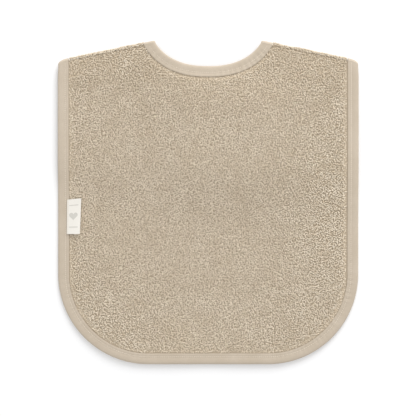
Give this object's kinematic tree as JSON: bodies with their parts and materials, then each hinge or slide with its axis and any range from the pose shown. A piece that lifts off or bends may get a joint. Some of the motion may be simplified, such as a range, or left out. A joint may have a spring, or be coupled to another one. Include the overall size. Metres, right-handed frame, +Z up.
{
  "type": "terry towelling baby bib",
  "caption": "Cotton terry bib with bias-bound edges and a woven side label, its shoulder straps folded behind and closed with a hook-and-loop tab.",
  "frame": {"origin": "middle of the folded bib's bounding box, on the surface it lies on", "axes": "+Z up out of the terry face, +Y from the hem towards the neck, +X towards the strap that carries the loop patch"},
  "size_m": [0.29, 0.3096, 0.01],
  "materials": {
    "terry": "uncut loop pile cotton terry, sand beige, matt",
    "backing": "plain knitted cotton, matt",
    "tape": "folded cotton bias tape, fine plain weave, soft sheen",
    "thread": "spun polyester sewing thread",
    "label": "woven satin label, off-white",
    "hook": "nylon hook tape, stiff",
    "loop": "nylon loop tape, napped"
  },
  "bodies": {
    "front": {"front_terry_face": "terry", "front_backing": "backing", "outer_edge_binding": "tape", "neck_edge_binding": "tape", "outer_binding_stitching": "thread", "neck_binding_stitching": "thread"},
    "label": {"side_label": "label"},
    "left_strap": {"left_strap_terry_face": "terry", "left_strap_backing": "backing", "left_strap_outer_binding": "tape", "left_strap_neck_binding": "tape"},
    "left_tab": {"left_tab_terry_face": "terry", "left_tab_backing": "backing", "left_tab_binding": "tape", "hook_patch": "hook"},
    "right_strap": {"right_strap_terry_face": "terry", "right_strap_backing": "backing", "right_strap_binding": "tape", "loop_patch": "loop"}
  },
  "joints": [
    {"name": "left_shoulder_fold", "type": "hinge", "parent": "front", "child": "left_strap", "pos_m": [-0.0508, 0.1549, 0.00275], "axis": [0.9796, 0.2011, 0], "range_deg": [0, 180]},
    {"name": "right_shoulder_fold", "type": "hinge", "parent": "front", "child": "right_strap", "pos_m": [0.0508, 0.1549, 0.00275], "axis": [0.9796, -0.2011, 0], "range_deg": [0, 180]},
    {"name": "closure_peel", "type": "hinge", "parent": "left_strap", "child": "left_tab", "pos_m": [-0.003, 0.0722, 0], "axis": [0, 1, 0], "range_deg": [0, 120]},
    {"name": "label_lift", "type": "hinge", "parent": "front", "child": "label", "pos_m": [-0.1364, -0.0123, 0.00375], "axis": [0, -1, 0], "range_deg": [0, 150]}
  ],
  "couplings": [
    {"joint": "right_shoulder_fold", "follows": "left_shoulder_fold", "ratio": 1}
  ]
}
